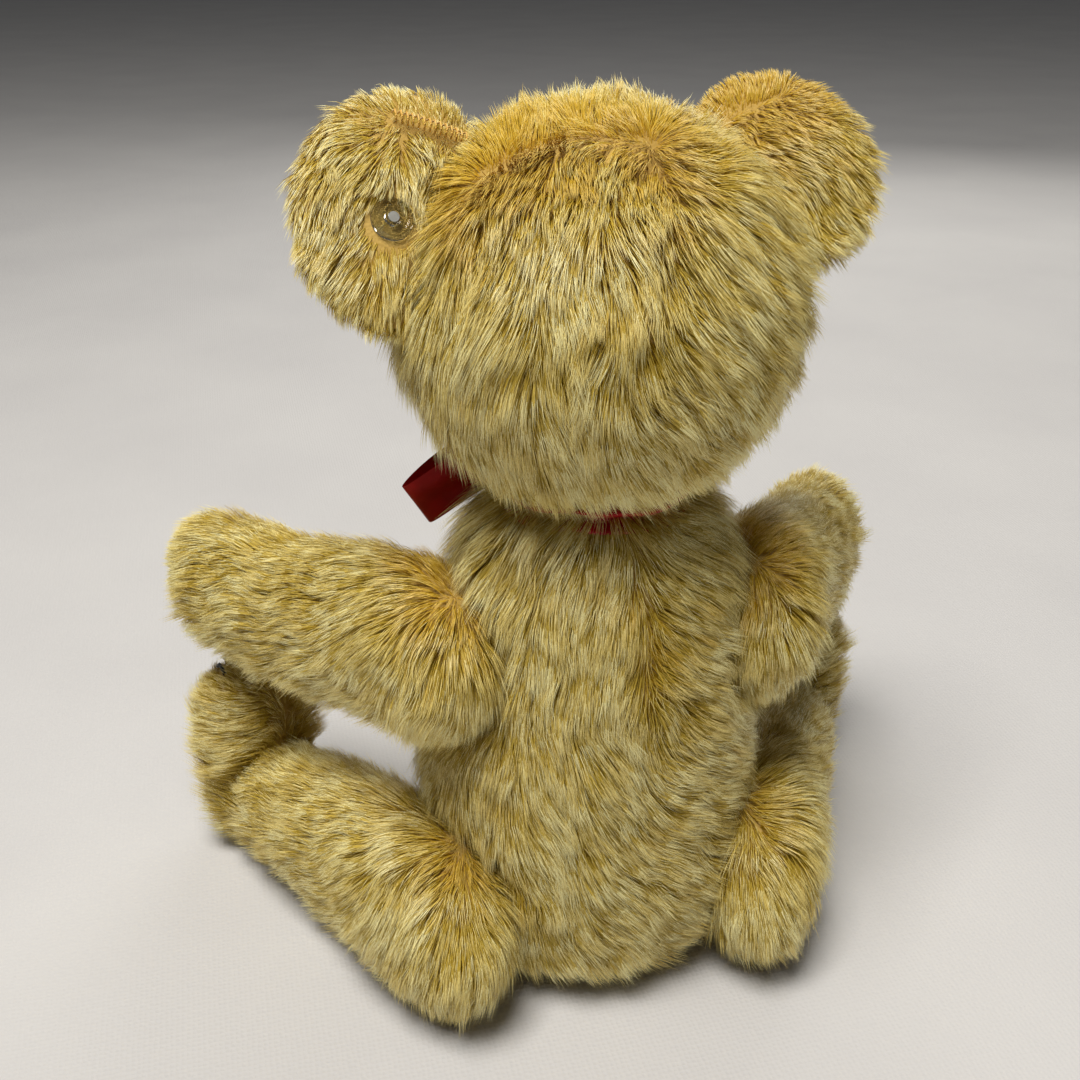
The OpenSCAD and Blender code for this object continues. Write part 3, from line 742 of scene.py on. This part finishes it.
def strands(part, nap, length=PILE_LENGTH, lift=PILE_LIFT, bald=nowhere, trim=full):
    """Roots, points (strand, step, xyz), widths across, faces and tints of the pile on one skin."""
    roots, ups, rooms = scatter(part, bald)
    count = len(roots)
    parted = nap.parted(roots)
    flow = nap.at(roots)
    flow = unit(flow - (flow * ups).sum(1, keepdims=True) * ups)
    across = np.cross(ups, flow)

    tufts = RNG.choice(count, max(count // TUFT_SIZE, 1), replace=False)
    locks = RNG.choice(count, max(count // LOCK_SIZE, 1), replace=False)
    my_tuft, my_lock = nearest(roots, roots[tufts]), nearest(roots, roots[locks])

    def varied(tuft_spread, lock_spread, own_spread):
        return (RNG.normal(0, tuft_spread, len(tufts))[my_tuft]
                + RNG.normal(0, lock_spread, len(locks))[my_lock] + RNG.normal(0, own_spread, count))

    sway = np.radians(varied(*SWAY_SPREAD) + 22 * noise(roots, 0.021, 3))
    flow = flow * np.cos(sway)[:, None] + across * np.sin(sway)[:, None]
    lengths = length * trim(roots) * (1 + varied(*LENGTH_SPREAD)) * (1 - 0.45 * parted)
    steep = np.clip(rooms / (0.45 * length), 0.12, 1)
    tilt = varied(*TILT_SPREAD) + 7 * noise(roots, 0.011, 5) + 16 * parted
    hang = 0.7 * np.clip(-ups[:, 2:], 0, 1) * steep[:, None]

    points = np.zeros((count, 4, 3))
    points[:, 0] = roots - ups * 0.3 * MM
    for k in range(3):
        part_way = (STRAND_STEPS[k] + STRAND_STEPS[k + 1]) / 2
        angle = np.radians((lift[0] + (lift[1] - lift[0]) * part_way**0.7 + tilt) * steep)[:, None]
        step = unit(flow * np.cos(angle) + ups * np.sin(angle) - hang * part_way * np.array((0, 0, 1)))
        run = lengths * (STRAND_STEPS[k + 1] - STRAND_STEPS[k])
        points[:, k + 1] = points[:, k] + step * run[:, None]
        points[:, k + 1, 2] -= 0.6 * MM * part_way**2

    for lead, mine, gather in ((tufts, my_tuft, TUFT_GATHER), (locks, my_lock, LOCK_GATHER)):
        points += (points[lead][mine] - points) * np.array(gather)[None, :, None]
    points[:, 1:, 2] = np.maximum(points[:, 1:, 2], FLOOR_GAP)

    roll = np.radians(RNG.normal(0, 24, count))[:, None, None]
    ahead = unit(np.gradient(points, axis=1))
    side = unit(np.cross(ahead, ups[:, None]))
    face = np.cross(side, ahead)
    widths = side * np.cos(roll) + face * np.sin(roll)
    faces = unit(face * np.cos(roll) - side * np.sin(roll) + 0.6 * ups[:, None])
    tone = 0.45 * noise(roots, 0.014, 11) + varied(*TINT_SPREAD)
    tints = np.clip(np.round(1.45 + 0.8 * tone - 2.0 * parted), 0, TINTS - 1).astype(int)
    return roots, points, widths, faces, tints


def pile_piece(name, body, points, widths, faces, tints, mats):
    """One mesh of tapered strands, each two quads and a pointed end, shaded as round hairs."""
    count = len(points)
    edge = widths * (STRAND_W / 2 * STRAND_TAPER)[None, :, None]
    places = strand_rows(points - edge, points + edge)
    spread = 0.75 * widths
    normals = strand_rows(unit(faces * 0.8 - spread), unit(faces * 0.8 + spread))
    normals[:, 6] = faces[:, 3]
    base = np.arange(count)[:, None] * 7
    loops = (base + np.array([0, 1, 3, 2, 2, 3, 5, 4, 4, 5, 6])).reshape(-1)
    starts = (np.arange(count)[:, None] * 11 + np.array([0, 4, 8])).reshape(-1)
    slots = (tints[:, None] + np.array([0, TINTS, 2 * TINTS])).reshape(-1)
    mesh = bpy.data.meshes.new(name)
    mesh.vertices.add(count * 7)
    mesh.vertices.foreach_set("co", places.reshape(-1))
    mesh.loops.add(count * 11)
    mesh.loops.foreach_set("vertex_index", loops)
    mesh.polygons.add(count * 3)
    mesh.polygons.foreach_set("loop_start", starts)
    obj = link(name, mesh, mats)
    mesh.polygons.foreach_set("material_index", slots)
    mesh.polygons.foreach_set("use_smooth", [True] * (count * 3))
    mesh.attributes.new("custom_normal", "FLOAT_VECTOR", "POINT")
    mesh.attributes["custom_normal"].data.foreach_set("vector", normals.reshape(-1))
    mesh.update(calc_edges=True)
    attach(obj, body)
    return obj


def strand_rows(left, right):
    """Seven values a strand: left and right at three steps, and the last step once."""
    pairs = [value for k in range(3) for value in (left[:, k], right[:, k])]
    return np.stack([*pairs, left[:, 3]], 1)


def grow(part, body, nap, panels, mats, **style):
    """The pile of one skin, as one piece for each sewn panel."""
    roots, *pile = strands(part, nap, **style)
    left = np.ones(len(roots), bool)
    for name, chooses in panels:
        mine = left & chooses(roots)
        left &= ~mine
        pile_piece(f"{part}_pile_{name}", body, *(values[mine] for values in pile), mats)


def everywhere(roots):
    return np.ones(len(roots), bool)


def clear_of(*obstacles):
    """No pile roots within a distance of a CAD node: (name, distance in millimetres)."""
    nearby = [(tree_of(name), [np.array(c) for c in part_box(name)], gap * MM) for name, gap in obstacles]

    def bald(roots):
        out = nowhere(roots)
        for tree, (low, high), gap in nearby:
            for i in np.nonzero(np.all((roots > low - gap) & (roots < high + gap), axis=1))[0]:
                out[i] |= tree.find_nearest(Vector(roots[i]), gap)[0] is not None
        return out
    return bald


def muzzle_trim(roots):
    """The pile is clipped short on the muzzle and round the eyes."""
    muzzle = np.array(centre("nose")) + (0, 0.012, 0)
    far = np.linalg.norm((roots - muzzle) * (1, 0.75, 1), axis=1)
    return 0.28 + 0.72 * np.clip((far - 0.014) / 0.03, 0, 1)


def head_pile(mats):
    nap = combed("head_cover", [
        ((19, 50, 12), (0.18, 0, -1), 28),
        ((42, 30, 6), (0.25, 0.1, -1), 26),
        ((-20, 52, 8), (-1, 0.1, -0.45), 26),
        ((16, 44, -30), (-0.7, -0.2, -0.75), 22),
        ((-14, 44, -28), (-0.8, -0.3, -0.6), 25),
        ((0, 14, -44), (0, -0.3, -1), 20),
        ((0, -40, 10), (0, 1, 0.3), 30),
        ((0, -40, -15), (0, 0.6, -0.8), 20),
    ], [
        ((27, 23, 29), (-5, 33, 36), 26),
        ((-7, 44, 30), (2, 57, 6), 8, 0.6, 0.3),
    ])
    bald = clear_of(("left_eye", 0.4), ("right_eye", 0.4), ("nose", 1.0), ("mouth_stitching", 1.4),
                    ("left_ear", 0.2), ("right_ear", 0.2))
    grow("head", "head", nap, [
        ("gusset", lambda r: np.abs(r[:, 0]) < 0.014),
        ("left_face", lambda r: (r[:, 0] > 0) & (r[:, 1] < -0.01)),
        ("left", lambda r: r[:, 0] > 0),
        ("right_face", lambda r: r[:, 1] < -0.01),
        ("right", everywhere)], mats, bald=bald, trim=muzzle_trim)


def ladder_and_snap_trim(roots):
    """Shorter pile round the ear's snap and along its ladder stitches."""
    start, end = (from_middle("left_ear", *place) for place in LADDER_ENDS)
    run = end - start
    along = np.clip((roots - start) @ run / (run @ run), 0, 1)
    seam = np.linalg.norm(roots - start - along[:, None] * run, axis=1)
    snap = np.linalg.norm(roots - np.array(centre("ear_snap_ring")), axis=1)
    near_seam = 0.5 + 0.5 * np.clip((seam - 0.002) / 0.004, 0, 1)
    near_snap = 0.4 + 0.6 * np.clip((snap - 0.006) / 0.006, 0, 1)
    return near_seam * near_snap * rim_trim("left_ear")(roots)


def rim_trim(ear):
    """Shorter pile towards the rim of an ear."""
    middle = np.array(centre(ear))

    def trim(roots):
        return 1 - 0.45 * np.clip((np.linalg.norm(roots - middle, axis=1) - 0.017) / 0.008, 0, 1)
    return trim


def ear_pile(mats):
    style = {"length": EAR_PILE_LENGTH, "lift": EAR_PILE_LIFT}
    nap = combed("left_ear", [
        ((12, 1, 9), (0.7, 0.1, -1), 30),
        ((12, 14, -9), (0.3, 0.3, -1), 20),
    ], [(*LADDER_ENDS, 14, 1.6, 0.2)])
    bald = clear_of(("ear_snap_ring", 0.7), ("ear_snap_stud", 0.6))
    grow("left_ear", "head", nap, [("pile", everywhere)], mats, bald=bald, trim=ladder_and_snap_trim, **style)
    nap = combed("right_ear", [
        ((-10, 4, 6), (-1, 0.2, -0.3), 25),
        ((-4, 8, -8), (-0.9, 0.3, -0.8), 20),
    ], [((12, -4, 12), (-4, -6, 17), 30, 1.2)])
    grow("right_ear", "head", nap, [("pile", everywhere)], mats, trim=rim_trim("right_ear"), **style)


def bow_trim(roots):
    """The pile is pressed short under the knot and tails of the bow."""
    knot = np.array((0, -0.03, JOINTS["neck"]["pos_m"][2] - 0.016))
    far = np.linalg.norm((roots - knot) * (1, 1, 0.8), axis=1)
    return 0.55 + 0.45 * np.clip((far - 0.018) / 0.012, 0, 1)


def shoulder_trim(roots):
    """The bow's trim, and fuller pile where the shoulders meet the neck."""
    full_pile = np.zeros(len(roots))
    for side in (-1, 1):
        place = from_middle("body_cover", side * 20, 6, 62)
        full_pile = np.maximum(full_pile, np.exp(-((roots - place) ** 2).sum(1) / 0.016**2))
    return bow_trim(roots) * (1 + 0.45 * full_pile)


def body_pile(mats):
    nap = combed("body_cover", [
        ((-22, 8, 62), (-1, 0.1, 0.1), 12),
        ((22, 8, 62), (1, 0.1, 0.1), 12),
        ((16, 30, 60), (0.3, 0, -1), 22),
        ((-22, 25, 50), (-1, 0.2, -0.6), 25),
        ((24, 28, 25), (0.1, 0, -1), 25),
        ((8, 36, 2), (-0.7, 0.1, -0.7), 22),
        ((-16, 36, -4), (-1, 0.2, -0.15), 22),
        ((20, 30, -40), (-0.5, 0, -0.9), 25),
        ((-15, 32, -45), (-1, 0, -0.4), 25),
        ((0, -40, 0), (0, 0, -1), 50),
        ((0, -24, 60), (0, 0, -1), 30),
    ], [((-4, 32, 62), (-4, 37, 30), 10, 0.8, 0.3)])
    grow("body", "body", nap, [
        ("back_low", lambda r: (r[:, 1] > 0) & (r[:, 2] < 0.06)),
        ("back_left", lambda r: (r[:, 1] > 0) & (r[:, 0] > -0.004)),
        ("back_right", lambda r: r[:, 1] > 0),
        ("front_low", lambda r: r[:, 2] < 0.06),
        ("front_left", lambda r: r[:, 0] > 0),
        ("front_right", everywhere)], mats, length=BODY_PILE_LENGTH, trim=shoulder_trim)


def far_end(cover, sign):
    """The outer end of a limb's cover, at the middle of its height."""
    low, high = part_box(cover)
    return np.array((low[0] if sign < 0 else high[0], low[1], (low[2] + high[2]) / 2))


def arm_pile(side, sign, mats):
    arm, paw = side + "_arm", side + "_paw"
    shoulder = np.array(JOINTS[side + "_shoulder"]["pos_m"])
    end = far_end(arm + "_cover", sign)
    nap = Nap()
    nap.comb((shoulder + end) / 2, end - shoulder + (0, 0, -0.035), 0.05)
    nap.comb(shoulder + (sign * 0.008, 0.022, -0.004), (sign * 0.1, 0.1, -1), 0.018)
    nap.part(shoulder + (sign * 0.005, -0.008, 0.021), shoulder + (sign * 0.007, 0.012, 0.019), 0.021, 1.6)
    grow(arm, arm, nap, [
        ("upper", lambda r: r[:, 1] > shoulder[1] - 0.03),
        ("paw", everywhere)], mats,
         bald=clear_of((paw + "_pad", 0.8), (paw + "_claws", 1.6)), trim=tip_trim(paw + "_claws"))


def leg_pile(side, sign, mats):
    leg, foot = side + "_leg", side + "_foot"
    hip = np.array(JOINTS[side + "_hip"]["pos_m"])
    end = far_end(leg + "_cover", sign)
    nap = Nap()
    nap.comb((hip + end) / 2, end - hip + (0, 0, -0.03), 0.05)
    nap.comb(hip + (sign * 0.016, 0.024, 0.012), (sign * 0.25, 0.6, -1), 0.024)
    nap.comb(end, (0, -0.2, 1), 0.022)
    nap.part(hip + (sign * 0.004, -0.004, 0.026), hip + (sign * 0.005, 0.012, 0.025), 0.016, 1.2, 0.6)
    grow(leg, leg, nap, [
        ("thigh", lambda r: r[:, 1] > hip[1] - 0.008),
        ("shin", lambda r: r[:, 1] > hip[1] - 0.052),
        ("foot", everywhere)], mats,
         bald=clear_of((foot + "_pad", 0.8), (foot + "_claws", 1.6)), trim=tip_trim(foot + "_claws"))


def tip_trim(claws):
    """Shorter pile where the claws are stitched over it."""
    tip = np.array(centre(claws))

    def trim(roots):
        return 0.45 + 0.55 * np.clip((np.linalg.norm(roots - tip, axis=1) - 0.010) / 0.014, 0, 1)
    return trim


def bear_pile():
    mats = pile_materials()
    head_pile(mats)
    ear_pile(mats)
    body_pile(mats)
    for side, sign in (("left", 1), ("right", -1)):
        arm_pile(side, sign, mats)
        leg_pile(side, sign, mats)


def face_and_pads():
    black = thread("black_thread", (0.002, 0.002, 0.002), (0.014, 0.013, 0.012), sheen=0.02)
    cotton = thread("tan_thread", (0.42, 0.28, 0.12), (0.66, 0.48, 0.24))
    amber = thread("amber_thread", (0.70, 0.37, 0.04), (0.92, 0.60, 0.12))
    wool = felt()
    eyes = [glass("eye_pupil", (0.003, 0.002, 0.002), (0.008, 0.006, 0.004)),
            glass("eye_iris", (0.16, 0.045, 0.008), (0.42, 0.15, 0.03)),
            glass("eye_rim", (0.015, 0.007, 0.003), (0.04, 0.02, 0.01))]
    for side in ("left", "right"):
        eye(side, eyes)
        felt_pad(side + "_paw_pad", side + "_arm", wool, cotton)
        felt_pad(side + "_foot_pad", side + "_leg", wool, cotton)
    nose_stitches(black)
    ear_ladder(amber)
    finish_cad(black, "nose", "mouth_stitching", "left_paw_claws", "right_paw_claws",
               "left_foot_claws", "right_foot_claws")


def hardware():
    clear = hard("clear_plastic", (0.84, 0.86, 0.80), (0.93, 0.95, 0.90), roughness=0.05, scale=400,
                 IOR=1.49, Transmission_Weight=1.0)
    stud = hard("stud_plastic", (0.22, 0.22, 0.20), (0.32, 0.32, 0.29), roughness=0.3, scale=500)
    board = hard("fibreboard", (0.16, 0.09, 0.045), (0.30, 0.19, 0.10), roughness=0.85, scale=600)
    steel = hard("steel", (0.38, 0.38, 0.37), (0.58, 0.57, 0.55), roughness=0.32, scale=900, Metallic=1.0)
    finish_cad(clear, "ear_snap_ring")
    finish_cad(stud, "ear_snap_stud")
    for name in frame["nodes"]:
        if name.endswith("_disc"):
            finish_cad(board, name)
        elif name.endswith(("_washer", "_pin")):
            finish_cad(steel, name)


camera()
studio()
floor()
skins = covers(backing_cloth())
trees, skin_boxes = {}, {}
for part, obj in skins.items():
    trees[part] = BVHTree.FromObject(obj, bpy.context.evaluated_depsgraph_get())
    spots = surface_arrays(obj)[0]
    skin_boxes[part] = spots.min(0), spots.max(0)
face_and_pads()
ribbon(satin())
hardware()
bear_pile()
